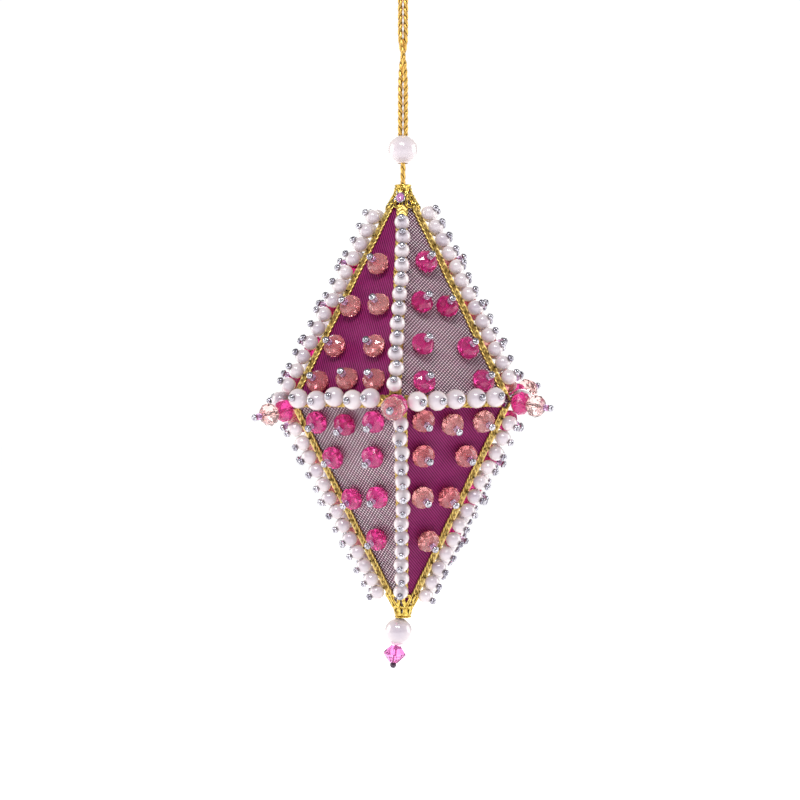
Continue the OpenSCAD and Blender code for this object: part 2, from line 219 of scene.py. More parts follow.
def add(tree, kind, settings=None, inputs=None, links=None):
    """One node with its settings, its input values and the sockets linked to its inputs.
    The setting called stops gives a colour ramp its (place, colour) pairs."""
    made = tree.nodes.new(kind)
    for key, value in (settings or {}).items():
        if key == "stops":
            for k, (place, colour) in enumerate(value):
                stop = made.color_ramp.elements[k] if k < 2 else made.color_ramp.elements.new(place)
                stop.position, stop.color = place, linear(colour)
        else:
            setattr(made, key, value)
    for key, value in (inputs or {}).items():
        made.inputs[key].default_value = value
    for key, source in (links or {}).items():
        tree.links.new(source, made.inputs[key])
    return made


def new_finish(name, colour, **sockets):
    """A material with its Principled shader: the colour, and any other sockets named with _ for space."""
    made = bpy.data.materials.new(name)
    made.use_nodes = True
    shader = made.node_tree.nodes["Principled BSDF"]
    shader.inputs["Base Color"].default_value = linear(colour)
    for key, value in sockets.items():
        shader.inputs[key.replace("_", " ")].default_value = value
    return made, made.node_tree, shader


def cloudy_colour(tree, shader, scale, stops, detail=2.0):
    """The base colour wanders between the stops with a noise on the object, scale clouds to the metre."""
    place = add(tree, "ShaderNodeTexCoord")
    cloud = add(tree, "ShaderNodeTexNoise", inputs={"Scale": scale, "Detail": detail},
                links={"Vector": place.outputs["Object"]})
    tone = add(tree, "ShaderNodeValToRGB", {"stops": stops}, links={"Fac": cloud.outputs["Fac"]})
    tree.links.new(tone.outputs["Color"], shader.inputs["Base Color"])
    return cloud


def colour_by_bead(tree, shader, low, high):
    """The base colour lies between low and high by the random number that each bead carries."""
    own = add(tree, "ShaderNodeAttribute", {"attribute_name": "bead"})
    tone = add(tree, "ShaderNodeValToRGB", {"stops": [(0.0, low), (1.0, high)]}, links={"Fac": own.outputs["Fac"]})
    tree.links.new(tone.outputs["Color"], shader.inputs["Base Color"])


# %% Camera
VIEW_TURN = math.radians(2.5)
VIEW_DISTANCE = 0.5
VIEW_HEIGHT = 0.205
AIM = np.array([-0.77 * MM, 0, -113.7 * MM])

camera = bpy.data.objects.new("camera", bpy.data.cameras.new("camera"))
bpy.context.scene.collection.objects.link(camera)
camera.location = AIM + VIEW_DISTANCE * np.array([math.sin(VIEW_TURN), -math.cos(VIEW_TURN), 0])
camera.rotation_euler = (math.pi / 2, 0, VIEW_TURN)
camera.data.sensor_width = 36
camera.data.lens = 36 * VIEW_DISTANCE / VIEW_HEIGHT
camera.data.clip_start, camera.data.clip_end = 0.01, 50
bpy.context.scene.camera = camera

# %% Floor, sky and lamps
FLOOR_Z = -0.27
white_table, tree, shader = new_finish("white_acrylic_table", "#f4f4f4", Roughness=1.0, Specular_IOR_Level=0.0,
                                       Emission_Color=linear("#ffffff"), Emission_Strength=0.7)
corners = np.array([[-6, -6], [6, -6], [6, 6], [-6, 6]], float)
corners = np.column_stack([corners, np.full(4, FLOOR_Z)])
floor = put_mesh("floor", (corners, [np.array([[0, 1, 2, 3]])]), white_table)

scene = bpy.context.scene
scene.view_settings.view_transform = "Standard"
sky = bpy.data.worlds.new("studio")
scene.world = sky
sky.use_nodes = True
tree = sky.node_tree
tree.nodes.clear()
seen = add(tree, "ShaderNodeLightPath")
backdrop = add(tree, "ShaderNodeBackground", inputs={"Color": linear("#ffffff"), "Strength": 1.05})
dim = add(tree, "ShaderNodeBackground", inputs={"Color": linear("#eceef2"), "Strength": 0.4})
either = add(tree, "ShaderNodeMixShader",
             links={0: seen.outputs["Is Camera Ray"], 1: dim.outputs[0], 2: backdrop.outputs[0]})
add(tree, "ShaderNodeOutputWorld", links={"Surface": either.outputs[0]})


def lamp(name, place, aim, size, power):
    """A square soft light at a place, turned towards an aim."""
    made = bpy.data.objects.new(name, bpy.data.lights.new(name, "AREA"))
    scene.collection.objects.link(made)
    made.data.shape, made.data.size, made.data.energy = "SQUARE", size, power
    made.location = place
    away = np.asarray(place, float) - np.asarray(aim, float)
    level = math.hypot(away[0], away[1])
    made.rotation_euler = (math.atan2(level, away[2]), 0, math.atan2(away[1], away[0]) + math.pi / 2)
    return made


MIDDLE = (0, 0, BODY_Z)
lamp("window_left", (-0.24, -0.75, 0.62), MIDDLE, 0.19, 3.8)
lamp("window_right", (0.07, -0.78, 0.62), MIDDLE, 0.19, 3.8)
lamp("left_panel", (-1.0, 0.1, 0.1), MIDDLE, 0.7, 5)
lamp("right_panel", (1.0, 0.15, 0.1), MIDDLE, 0.7, 5)
lamp("back_panel", (0, 1.1, 0.3), MIDDLE, 0.8, 4)

# %% [markdown]
# ## Gold cord
#
# The hanger is one length of metallic cord, doubled. Two plies of gold thread are twisted together, so
# the section has lobes that turn along the route. A section carried along a path gives that shape. The
# eye hangs on its hook and the legs swing below it. The cord here is one fixed mesh.


# %% Gold thread
def thread_gold(name, dark, light, roughness):
    """Lurex thread, plastic film with a metal coat. Its colour is painted darker in the grooves and brighter on the
    crests, painted shade and painted highlight, and a fine noise varies its tone at random.
    """
    made, tree, shader = new_finish(name, light, Metallic=0.85, Roughness=roughness)
    lobe = add(tree, "ShaderNodeAttribute", {"attribute_name": "crest"})
    place = add(tree, "ShaderNodeTexCoord")
    grain = add(tree, "ShaderNodeTexNoise", inputs={"Scale": 2600.0, "Detail": 2.0},
                links={"Vector": place.outputs["Object"]})
    # Painted shade and painted highlight: the crest number darkens the grooves and lightens the crests; the grain
    # noise adds random tone.
    mixed = add(tree, "ShaderNodeMath", {"operation": "MULTIPLY_ADD"}, {1: 0.5},
                {0: grain.outputs["Fac"], 2: lobe.outputs["Fac"]})
    ramp = add(tree, "ShaderNodeValToRGB", {"stops": [(0.3, dark), (1.15 / 1.3, light)]},
               links={"Fac": mixed.outputs[0]})
    tree.links.new(ramp.outputs["Color"], shader.inputs["Base Color"])
    bump = add(tree, "ShaderNodeBump", inputs={"Strength": 0.5, "Distance": 0.05 * MM},
               links={"Height": grain.outputs["Fac"]})
    tree.links.new(bump.outputs["Normal"], shader.inputs["Normal"])
    return made


cord_gold = thread_gold("twisted_metallic_cord", "#4a3410", "#d8ac58", 0.36)

# %% The doubled cord: leg, eye, leg
CORD_D = 1.3 * MM
LEG = np.array([
    [0, -0.7, -53.6], [0, -0.7, -52.4], [-0.5, -0.5, -49.6], [-0.7, 0, -46.8], [-0.7, 0, -43.6],
    [-0.7, 0, -40.4], [-0.7, 0, -37.2], [-0.7, 0.1, -34], [-0.6, 0.4, -31], [-0.4, 0.6, -28], [0, 0.7, -25.2],
    [0.5, 0.5, -22.4], [0.7, 0.1, -19.6], [0.7, 0, -16.8], [0.7, 0, -14.2], [0.7, 0, -11.9]]) * MM
HALF_EYE = np.array([
    [-0.7, 0, -11.1], [-0.8, 0, -9.8], [-1.5, 0, -7.9], [-2.5, 0, -5.8], [-3.2, 0, -3.6], [-3.1, 0, -1.7],
    [-2.3, 0, -0.3], [-1.2, 0, 0.4], [0, 0, 0.65]]) * MM
route = np.concatenate([LEG, HALF_EYE * (-1, 1, 1), HALF_EYE[-2::-1], (LEG * (-1, -1, 1))[::-1]])
cord_path = smooth_path(route, 0.16 * MM)
cord_shape, cord_lobes = rope(cord_path, CORD_D / 2, lobes=2, lay=4.1 * MM, sides=14, depth=0.3, mirrored=True)
# The crest numbers give the cord painted shade in the groove between the plies and a painted highlight on the
# plies.
gold_cord = put_mesh("gold_cord", cord_shape, cord_gold, values={"crest": cord_lobes})
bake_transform(gold_cord)
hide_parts("cord_eye", "cord_legs")

# %% The stem between pearl and cap, with its knot
STEM = np.array([[0, 0.7, -50.2], [0, 0.7, -54], [0, 0.7, -58], [0.1, 0.6, -60.2]]) * MM
around = np.linspace(0, 2 * np.pi, 90)
trefoil = np.stack([np.sin(around) + 2 * np.sin(2 * around), np.cos(around) - 2 * np.cos(2 * around),
                    -1.1 * np.sin(3 * around)], axis=1) * 0.36 * MM + [0, 0, -60.4 * MM]
legs = [rope(smooth_path(STEM * (1, side, 1), 0.16 * MM), CORD_D / 2, 2, side * 4.1 * MM, 14) for side in (1, -1)]
knot = rope(trefoil, 0.42 * MM, 2, 4.1 * MM, 10, helper=(0, 0, 1))
stem_shape = join([shape for shape, _ in (*legs, knot)])
# The stem and knot carry the same crest numbers, for painted shade in the grooves and painted highlight on the
# plies.
stem = put_mesh("cord_stem_twisted", stem_shape, cord_gold,
                values={"crest": np.concatenate([lobes for _, lobes in (*legs, knot)])})
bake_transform(stem)
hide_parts("cord_stem")

# %% [markdown]
# ## Where the pins are
#
# Every bead sits on a pin, so the pins say where the beads go and which way their holes point. Each
# CAD node of pins is one mesh of loose triangles. Triangles that share corners belong to one pin, and a
# pin's own longest direction is its line.


# %% Pins out of a CAD node
def pin_lines(node):
    """The top of the head and the outward direction of each pin. Pins are told apart by passing the
    lowest corner number on to all corners of a triangle until nothing changes. A pin's direction is
    the one in which its corners spread most, and the top is its furthest corner along that."""
    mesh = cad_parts[node].data
    points = np.empty(len(mesh.vertices) * 3)
    mesh.vertices.foreach_get("co", points)
    mesh.calc_loop_triangles()
    triangles = np.empty(len(mesh.loop_triangles) * 3, int)
    mesh.loop_triangles.foreach_get("vertices", triangles)
    points, same = np.unique(np.round(points.reshape(-1, 3), 7), axis=0, return_inverse=True)
    triangles = same.ravel()[triangles].reshape(-1, 3)
    label, before = np.arange(len(points)), None
    while before is None or (label != before).any():
        before = label.copy()
        low = label[triangles].min(axis=1)
        for corner in range(3):
            np.minimum.at(label, triangles[:, corner], low)
        label = label[label]
    _, label = np.unique(label, return_inverse=True)
    count = np.bincount(label)
    middle = np.stack([np.bincount(label, points[:, k]) / count for k in range(3)], axis=1)
    off = points - middle[label]
    spread = np.zeros((len(count), 3, 3))
    np.add.at(spread, label, off[:, :, None] * off[:, None, :])
    line = np.linalg.eigh(spread)[1][:, :, 2]
    line *= np.sign((line * (middle - [0, 0, BODY_Z])).sum(axis=1))[:, None]
    reach = np.full(len(count), -1.0)
    back = np.full(len(count), 1.0)
    along = (off * line[label]).sum(axis=1)
    np.maximum.at(reach, label, along)
    np.minimum.at(back, label, along)
    print(f"{node}: {len(count)} pins, {round((reach - back).mean() / MM, 1)} mm long on average")
    return middle + line * reach[:, None], line, reach - back


PINS = {kind: pin_lines("pins_" + kind) for kind in ("upper", "lower", "side", "face", "corner")}
PINS["drop"] = pin_lines("drop_pin")

# %% [markdown]
# ## Pearls
#
# The pearls are acrylic beads dipped in pearl lacquer. The lacquer is clear and glossy over a soft
# lilac-white body. Towards the rim the colour is painted lighter and warmer, a painted reflection of the
# bright room. A ball with a bored hole is a profile turned round the hole. The lacquer dips into the
# hole, so the rim of the hole is rounded.

# %% Pearl lacquer
pearl_lacquer, tree, shader = new_finish("pearl_lacquer_on_acrylic", "#efe6ec", Roughness=0.24, IOR=1.5,
                                         Coat_Weight=0.9, Coat_Roughness=0.03, Coat_IOR=1.6)
rim = add(tree, "ShaderNodeLayerWeight", inputs={"Blend": 0.35})
place = add(tree, "ShaderNodeTexCoord")
cloud = add(tree, "ShaderNodeTexNoise", inputs={"Scale": 420.0, "Detail": 2.0},
            links={"Vector": place.outputs["Object"]})
own = add(tree, "ShaderNodeAttribute", {"attribute_name": "bead"})
tone = add(tree, "ShaderNodeMath", {"operation": "MULTIPLY_ADD"}, {1: 0.35},
           {0: cloud.outputs["Fac"], 2: own.outputs["Fac"]})
body = add(tree, "ShaderNodeValToRGB", {"stops": [(0.2, "#b4a8b4"), (1.0, "#cdc2c7")]},
           links={"Fac": tone.outputs[0]})
# Painted reflection: the base colour turns lighter and warmer towards the rim; the body tone itself differs at
# random from bead to bead.
painted_rim_reflection = add(tree, "ShaderNodeMix", {"data_type": "RGBA"}, {"B": linear("#f0e2da")},
           {"Factor": rim.outputs["Facing"], "A": body.outputs["Color"]})
tree.links.new(painted_rim_reflection.outputs["Result"], shader.inputs["Base Color"])
skin = add(tree, "ShaderNodeBump", inputs={"Strength": 0.25, "Distance": 0.04 * MM},
           links={"Height": cloud.outputs["Fac"]})
tree.links.new(skin.outputs["Normal"], shader.inputs["Normal"])


# %% Pearl beads
def pearl_profile(d, bore, steps):
    """A ball's arc r = R cos t, h = R sin t between the hole's ends, closed by the bore, with a rim."""
    radius = d / 2
    rim_turn = math.acos((bore + 0.05 * MM) / radius)
    t = np.linspace(-rim_turn, rim_turn, steps)
    arc = np.stack([radius * np.cos(t), radius * np.sin(t)], axis=1)
    inner = math.sin(rim_turn) * radius - 0.12 * MM
    return np.concatenate([arc, [[bore, inner], [bore, -inner]]])


def on_pins(name, profile, sides, kind, back, finish, body, node, slot, keep=None, facets=None, smooth=True):
    """Copies of one bead on each pin of a kind. The bead's middle is a distance back from the head's
    top. Every copy is rolled by a seeded random angle and carries its own random number."""
    top, line, _ = PINS[kind]
    if keep is not None:
        top, line = top[keep], line[keep]
    chance = np.random.default_rng(sum(map(ord, name)))
    shape = facets or turned(profile, sides)
    placed = repeat(shape, top - line * back, frames_for(line, chance.uniform(0, 2 * np.pi, len(top))))
    tones = np.repeat(chance.uniform(0, 1, len(top)), len(shape[0]))
    piece = put_mesh(name, placed, finish, smooth=smooth, values={"bead": tones})
    return stand_for(piece, body, node, slot=slot)


HEAD_T, HEAD_R, PIN_R = 0.3 * MM, 0.65 * MM, 0.3 * MM
GAP = 0.06 * MM
SEED_D, SEED_T = 1.9 * MM, 0.8 * MM
TINT_D, TINT_T = 1.8 * MM, 1.4 * MM
EDGE_PEARL_D, SIDE_PEARL_D = 3.9 * MM, 5.0 * MM
BORE = 0.38 * MM
under_seed = HEAD_T + GAP + SEED_T + GAP
for kind, d in (("upper", EDGE_PEARL_D), ("lower", EDGE_PEARL_D), ("side", SIDE_PEARL_D)):
    on_pins(f"pearls_{kind}_lacquered", pearl_profile(d, BORE, 9), 14, kind, under_seed + d / 2,
            pearl_lacquer, "ornament", "pearls_" + kind, "pearl")

# %% The large pearls on the cord and over the drop
TOP_PEARL_D = 7.6 * MM
big, faces = turned(pearl_profile(TOP_PEARL_D, 1.45 * MM, 40), 56)
TOP_PEARL_Z = -49.6 * MM
top_pearl = put_mesh("cord_pearl", (big + [0, 0, TOP_PEARL_Z], faces), pearl_lacquer,
                     values={"bead": np.full(len(big), 0.6)})
stand_for(top_pearl, "top_pearl", "top_pearl", slot="pearl")

# %% [markdown]
# ## Seed beads and pins
#
# Silver-lined seed beads are short glass tubes with rounded ends, and they look like bright metal. The
# lilac ones are clear glass. The pins are bright steel with a flat round head, and they go through
# everything into the foam.

# %% Seed and pin finishes
silver_seed, tree, shader = new_finish("galvanised_glass_seed", "#d4d2d8", Metallic=1.0, Roughness=0.2)
colour_by_bead(tree, shader, "#8a8592", "#cbc8d0")

pin_steel, tree, shader = new_finish("bright_steel_pin", "#b9b6bc", Metallic=1.0, Roughness=0.2)
cloudy_colour(tree, shader, 1800.0, [(0.35, "#7d7a84"), (0.6, "#c9c6cc")])


def clear_glass(name, deep, light, roughness, through):
    """Coloured glass: light goes through it and takes its colour, with deeper and lighter beads."""
    made, tree, shader = new_finish(name, light, Roughness=roughness, IOR=1.5, Transmission_Weight=through)
    colour_by_bead(tree, shader, deep, light)
    return made


lilac_glass = clear_glass("lilac_glass_seed", "#deb0de", "#f6dcf4", 0.05, 0.78)


# %% Seeds and pins in place
def seed_profile(d, t, bore):
    """A short tube with rounded ends: half a squashed circle between the bore and the widest line."""
    turn = np.linspace(-np.pi / 2, np.pi / 2, 5)
    wall = (d / 2 - bore) * 0.55
    return np.concatenate([np.stack([d / 2 - wall + wall * np.cos(turn), t / 2 * np.sin(turn)], axis=1),
                           [[bore, t * 0.4], [bore, -t * 0.4]]])


SEED_BORE = 0.4 * MM
for kind in ("upper", "lower", "side", "face", "corner"):
    on_pins(f"seeds_{kind}_silver", seed_profile(SEED_D, SEED_T, SEED_BORE), 10, kind, HEAD_T + GAP + SEED_T / 2,
            silver_seed, "ornament", "seeds_" + kind, "silver_seed")
TINT_BACK = under_seed + TINT_T / 2
for kind in ("face", "corner"):
    on_pins(f"tints_{kind}_lilac", seed_profile(TINT_D, TINT_T, SEED_BORE), 10, kind, TINT_BACK,
            lilac_glass, "ornament", "tints_" + kind, "tint_seed")


def pins_in(kind, node):
    """Each pin is a point, a shank and a low dome: one profile, its shank stretched to the pin's length."""
    top, line, length = PINS[kind]
    profile = np.array([[0, -1], [PIN_R, -0.9], [PIN_R, -HEAD_T], [HEAD_R * 0.95, -HEAD_T],
                        [HEAD_R, -HEAD_T * 0.75], [HEAD_R * 0.75, -HEAD_T * 0.3],
                        [HEAD_R * 0.35, -HEAD_T * 0.05], [0, 0]])
    points, faces = turned(profile, 10, closed=False)
    roll = frames_for(line, np.zeros(len(top)))
    low = points[:, 2] < -0.5
    tall = np.broadcast_to(points, (len(top), *points.shape)).copy()
    tall[:, low, 2] *= length[:, None]
    placed = np.einsum("nij,npj->npi", roll, tall) + top[:, None]
    shift = (np.arange(len(top)) * len(points))[:, None, None]
    shape = placed.reshape(-1, 3), [(f[None] + shift).reshape(-1, f.shape[1]) for f in faces]
    return stand_for(put_mesh(node + "_steel", shape, pin_steel), "ornament", node, slot="pin_steel")


for kind in ("upper", "lower", "side", "face", "corner"):
    pins_in(kind, "pins_" + kind)
pins_in("drop", "drop_pin")

# %% [markdown]
# ## Rondelles
#
# The rondelles are fire-polished glass: a squat bead ground with rings of facets, then softened by
# heat. Each ring of corners is half a step out of turn with the next, so the facets are triangles in
# pairs. Flat shading keeps them crisp. Salmon ones are on satin, hot pink ones on net.


# %% Faceted beads
def faceted(rings, sides):
    """Rings of corners at (radius, height, turn): between two rings the facets are triangles where the
    turns differ by half a step, and the last ring joins the first through the bore."""
    rings = np.asarray(rings, float)
    angle = 2 * np.pi * (np.arange(sides)[None] + rings[:, 2:3]) / sides
    r, h = rings[:, :1], rings[:, 1:2]
    points = np.stack([r * np.cos(angle), r * np.sin(angle), h + 0 * angle], axis=-1)
    k, triangles = np.arange(sides), []
    for row in range(len(rings)):
        up, k2 = (row + 1) % len(rings), (k + 1) % sides
        a, b, c, d = row * sides + k, row * sides + k2, up * sides + k, up * sides + k2
        lead = rings[up, 2] >= rings[row, 2]
        triangles += [np.stack([a, b, c if lead else d], axis=1),
                      np.stack([b, d, c], axis=1) if lead else np.stack([a, d, c], axis=1)]
    return points.reshape(-1, 3), [np.concatenate(triangles)]


def rondelle(d, t):
    """A rondelle's corner rings, from the lower rim of the bore over the widest line to the upper rim."""
    return faceted([[BORE, -0.5 * t, 0], [0.27 * d, -0.5 * t, 0], [0.43 * d, -0.3 * t, 0.5], [0.5 * d, 0, 0],
                    [0.43 * d, 0.3 * t, 0.5], [0.27 * d, 0.5 * t, 0], [BORE, 0.5 * t, 0]], 9)


RONDELLE_D, RONDELLE_T, FACE_RONDELLE_T = 6 * MM, 4 * MM, 3.6 * MM
salmon_glass = clear_glass("salmon_fire_polished_glass", "#ee8a92", "#fcb8b4", 0.06, 0.74)
hot_glass = clear_glass("hot_pink_fire_polished_glass", "#e01c84", "#f854ac", 0.12, 0.76)
pale_glass = clear_glass("pale_rose_fire_polished_glass", "#f8c8c2", "#ffe2de", 0.03, 0.92)

top, line, _ = PINS["face"]
sector = np.floor((np.degrees(np.arctan2(top[:, 1], top[:, 0])) + 90) / 60).astype(int) % 6
on_satin = (sector + (top[:, 2] > BODY_Z)) % 2 == 0
FACE_BACK = under_seed + TINT_T + GAP + FACE_RONDELLE_T / 2
for kind, keep, finish, slot in (("satin", on_satin, salmon_glass, "salmon_bead"),
                                 ("net", ~on_satin, hot_glass, "hot_pink_bead")):
    on_pins(f"rondelles_{kind}_faceted", None, 0, "face", FACE_BACK, finish, "ornament", "rondelles_" + kind, slot,
            keep=keep, facets=rondelle(RONDELLE_D, FACE_RONDELLE_T), smooth=False)

# %% The corner rondelles, which turn on their pins
TURN_GAP = 0.1 * MM
PALE_BACK = under_seed + TINT_T + TURN_GAP + RONDELLE_T / 2
top, line, _ = PINS["corner"]
corner_of = np.round((np.degrees(np.arctan2(top[:, 1], top[:, 0])) + 90 + 5) / 60).astype(int) % 6
print("corner pins belong to corners", corner_of + 1)
for row, corner in enumerate(corner_of):
    for kind, back, finish in (("pale", PALE_BACK, pale_glass),
                               ("hot", PALE_BACK + RONDELLE_T + TURN_GAP, hot_glass)):
        on_pins(f"corner_{kind}_{corner + 1}_faceted", None, 0, "corner", back, finish, f"{kind}_{corner + 1}",
                f"corner_{kind}_{corner + 1}", f"{'hot_pink' if kind == 'hot' else 'pale'}_bead",
                keep=[row], facets=rondelle(RONDELLE_D, RONDELLE_T), smooth=False)

# %% [markdown]
# ## Foam, lining, satin and net
#
# Cloth is pinned over each of the twelve faces. Satin faces have fine diagonal ribs. Net faces are an
# open mesh of threads over a pale lining. Both follow the flat foam face, and dimple where a pin pulls
# them in. A face has its own two directions, across and up the slope, and the cloth is worked out there.

# %% Directions on a face
CORNER_R, HALF_H, TIP_H = 30.4 * MM, 55 * MM, 51.5 * MM
FLAT_R = CORNER_R * math.cos(math.pi / 6)
LEAN = math.atan2(FLAT_R, HALF_H)
SLOPE = math.hypot(FLAT_R, HALF_H)
CUT = TIP_H / math.cos(LEAN)
EDGE_INSET = 0.12 * MM
SHEET_BACK, LINING_TOP, NET_TOP, SATIN_TOP = 0.05 * MM, 0.3 * MM, 0.32 * MM, 0.46 * MM
PIN_PULL, SATIN_PULL, PULL_REACH = 0.12 * MM, 0.14 * MM, 1.8 * MM
BASE_HALF = CORNER_R / 2 - 2 * EDGE_INSET
TOP_HALF = CORNER_R / 2 * (1 - CUT / SLOPE) - EDGE_INSET


def face_directions(i, half):
    """Face i's middle of the widest line, and its directions across, up the slope and outwards."""
    a = math.radians(-60 + 60 * i)
    out = np.array([math.cos(a), math.sin(a), 0])
    across = np.array([-math.sin(a), math.cos(a), 0])
    rise = np.array([0, 0, half])
    return (FLAT_R * out + [0, 0, BODY_Z], across, math.cos(LEAN) * rise - math.sin(LEAN) * out,
            math.cos(LEAN) * out + math.sin(LEAN) * rise)


def on_face(flat, i, half):
    """Points (across, up, out) of a face carried to their place on the body."""
    start, across, up, out = face_directions(i, half)
    return start + flat[..., :1] * across + flat[..., 1:2] * up + flat[..., 2:] * out


def pin_feet(i, half):
    """Where the face's pins go in, as (across, up)."""
    start, across, up, out = face_directions(i, half)
    top, line, _ = PINS["face"]
    off = top - start
    foot = off - line * ((off @ out) / (line @ out))[:, None]
    feet = np.stack([foot @ across, foot @ up], axis=1)
    side_of = (sector == i) & ((top[:, 2] > BODY_Z) == (half > 0))
    return feet[side_of]


def dimple(flat, feet, depth, reach):
    """How far the pins pull the cloth in: depth times exp(-(distance / reach) squared), for the nearest."""
    away = np.linalg.norm(flat[..., None, :2] - feet, axis=-1).min(axis=-1)
    return depth * np.exp(-(away / reach) ** 2)


def lines_across(turn, offsets):
    """The two ends of parallel lines cut off by the panel's outline. A line starts at offset from the
    panel's middle and runs at an angle. Each of the four sides moves one end to where it crosses."""
    outline = np.array([[-BASE_HALF, EDGE_INSET], [BASE_HALF, EDGE_INSET], [TOP_HALF, CUT], [-TOP_HALF, CUT]])
    run = np.array([math.cos(turn), math.sin(turn)])
    square = np.array([-run[1], run[0]])
    start = outline.mean(axis=0) + offsets[:, None] * square
    low, high = np.full(len(offsets), -1.0), np.full(len(offsets), 1.0)
    for a, b in zip(outline, np.roll(outline, -1, axis=0)):
        inward = np.array([a[1] - b[1], b[0] - a[0]])
        speed, room = run @ inward, (start - a) @ inward
        cross = -room / speed
        if speed > 0:
            low = np.maximum(low, cross)
        else:
            high = np.minimum(high, cross)
    keep = high > low + 0.3 * MM
    return start[keep], run, low[keep], high[keep], keep


# %% Foam
foam_white, tree, shader = new_finish("expanded_polystyrene", "#f2f0ec", Roughness=0.8)
place = add(tree, "ShaderNodeTexCoord")
beads = add(tree, "ShaderNodeTexVoronoi", inputs={"Scale": 1 / (2.5 * MM)},
            links={"Vector": place.outputs["Object"]})
bump = add(tree, "ShaderNodeBump", inputs={"Strength": 0.5, "Distance": 0.2 * MM},
           links={"Height": beads.outputs["Distance"]})
tree.links.new(bump.outputs["Normal"], shader.inputs["Normal"])
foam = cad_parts["foam_core"]
foam.data.materials.clear()
foam.data.materials.append(foam_white)

# %% Satin with ribs
satin, tree, shader = new_finish("ribbed_magenta_satin", "#82195a", Roughness=0.42, Sheen_Weight=0.08,
                                 Sheen_Roughness=0.4, Anisotropic=0.5)
shader.inputs["Sheen Tint"].default_value = linear("#e070a8")
shader.inputs["Specular Tint"].default_value = linear("#e880b4")
# Painted shade and painted highlight: the base colour is darker in the grooves between the ribs and brighter on
# their crests, and a yarn noise varies the tone at random.
rib = add(tree, "ShaderNodeAttribute", {"attribute_name": "rib"})
place = add(tree, "ShaderNodeTexCoord")
yarn = add(tree, "ShaderNodeTexNoise", inputs={"Scale": 260.0, "Detail": 3.0},
           links={"Vector": place.outputs["Object"]})
tone = add(tree, "ShaderNodeMath", {"operation": "MULTIPLY_ADD"}, {1: 0.4},
           {0: yarn.outputs["Fac"], 2: rib.outputs["Fac"]})
ramp = add(tree, "ShaderNodeValToRGB", {"stops": [(0.25, "#1a0212"), (0.7, "#4c0830"), (1.0, "#862060")]},
           links={"Fac": tone.outputs[0]})
tree.links.new(ramp.outputs["Color"], shader.inputs["Base Color"])


def satin_panel(name, i, half, turn, node):
    """Ribs run straight at one angle, and the height across them is |sin(pi distance / pitch)| to the
    power 0.8. Lines lie five to a rib, cut to the outline, and a flat back closes the sheet. Real ribs
    are finer than this pitch, which is as coarse as they need to be to show."""
    pitch, height, steps = 0.56 * MM, 0.14 * MM, 18
    offsets = np.arange(-40 * MM, 40 * MM, pitch / 5)
    start, run, low, high, keep = lines_across(turn, offsets)
    crest = np.abs(np.sin(np.pi * offsets[keep] / pitch)) ** 0.8
    t = np.linspace(0, 1, steps)
    spot = start[:, None] + (low[:, None] + (high - low)[:, None] * t)[..., None] * run
    crest = np.repeat(crest[:, None], steps, axis=1)
    z = SATIN_TOP + height * crest - dimple(spot, pin_feet(i, half), SATIN_PULL, PULL_REACH)
    front = on_face(np.concatenate([spot, z[..., None]], axis=-1), i, half)
    back = on_face(np.concatenate([spot, np.full((*spot.shape[:2], 1), SHEET_BACK)], axis=-1), i, half)
    shape = slab(front, back)
    # The rib numbers set the satin's painted shade and highlight; the flat back gets zero, the darkest tone.
    piece = put_mesh(name, shape, satin, values={"rib": np.concatenate([crest.ravel(), np.zeros(crest.size)])})
    return stand_for(piece, "ornament", node, slot="satin")


def slab(front, back):
    """A closed sheet from two grids of points: both grids, and a wall round their borders. The faces
    are turned to point outwards where the front is the outer grid."""
    rows, columns = front.shape[:2]
    n = rows * columns
    quads = grid_faces(rows, columns)
    index = np.arange(n).reshape(rows, columns)
    border = np.concatenate([index[0], index[1:, -1], index[-1, -2::-1], index[-2:0:-1, 0]])
    after = np.roll(border, -1)
    walls = np.stack([border, border + n, after + n, after], axis=1)
    points = np.concatenate([front.reshape(-1, 3), back.reshape(-1, 3)])
    a, b, c = points[quads[len(quads) // 2, :3]]
    centre = quads[len(quads) // 2, 0]
    middle = np.cross(b - a, c - a) @ (front.reshape(-1, 3)[centre] - back.reshape(-1, 3)[centre])
    faces = [quads, quads[:, ::-1] + n, walls]
    return points, faces if middle > 0 else [f[:, ::-1] for f in faces]


SATIN_TURNS = {1: (-0.8, 0.9, -1.05), -1: (0.78, 0.95, -0.75)}
for half, word in ((1, "upper"), (-1, "lower")):
    for n in (1, 2, 3):
        i = 2 * (n - 1) + (1 if half > 0 else 0)
        satin_panel(f"satin_{word}_{n}_ribbed", i, half, SATIN_TURNS[half][n - 1], f"satin_{word}_{n}")

# %% Lining
lining_cloth, tree, shader = new_finish("pale_pink_lining", "#f4dfe8", Roughness=0.5, Sheen_Weight=0.3)
place = add(tree, "ShaderNodeTexCoord")
weave = add(tree, "ShaderNodeTexWave", {"bands_direction": "DIAGONAL"}, {"Scale": 450.0, "Distortion": 0.4},
            {"Vector": place.outputs["Object"]})
tone = add(tree, "ShaderNodeValToRGB", {"stops": [(0.0, "#f2d4e0"), (1.0, "#fff0f4")]},
           links={"Fac": weave.outputs["Fac"]})
tree.links.new(tone.outputs["Color"], shader.inputs["Base Color"])


